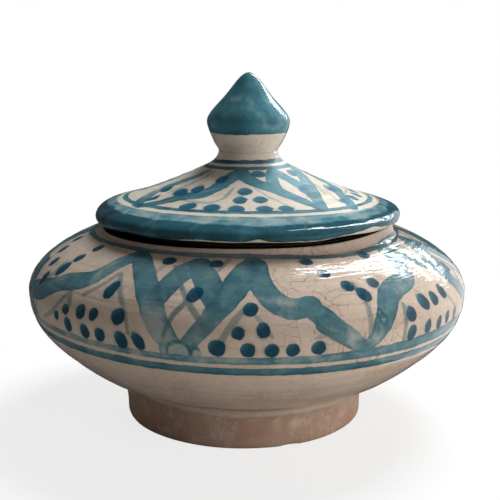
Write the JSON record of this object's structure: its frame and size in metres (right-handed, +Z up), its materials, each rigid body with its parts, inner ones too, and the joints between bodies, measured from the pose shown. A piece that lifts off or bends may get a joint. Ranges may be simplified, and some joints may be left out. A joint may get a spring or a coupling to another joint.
{
  "type": "lidded jar",
  "caption": "Squat round lidded jar on a foot ring: wide bellied bowl with a low collar, overhanging conical lid with a locating ring, and a pointed bud knob.",
  "frame": {"origin": "centre of the foot ring, on the surface that the jar stands on", "axes": "+Z up along the axis that the jar was thrown on; -Y faces the viewer of the picture, +X to the viewer's right"},
  "size_m": [0.16, 0.16, 0.1262],
  "materials": {
    "painted_glaze": "gloss",
    "blue_glaze": "gloss",
    "bare_clay": "matt"
  },
  "bodies": {
    "jar": {"jar_bowl": "painted_glaze", "foot_ring": "bare_clay"},
    "lid": {"lid_cover": "painted_glaze", "knob": "blue_glaze"}
  },
  "joints": [
    {"name": "lid_lift", "type": "slide", "parent": "jar", "child": "lid", "axis": [0, 0, 1], "range_m": [0, 0.08]}
  ]
}
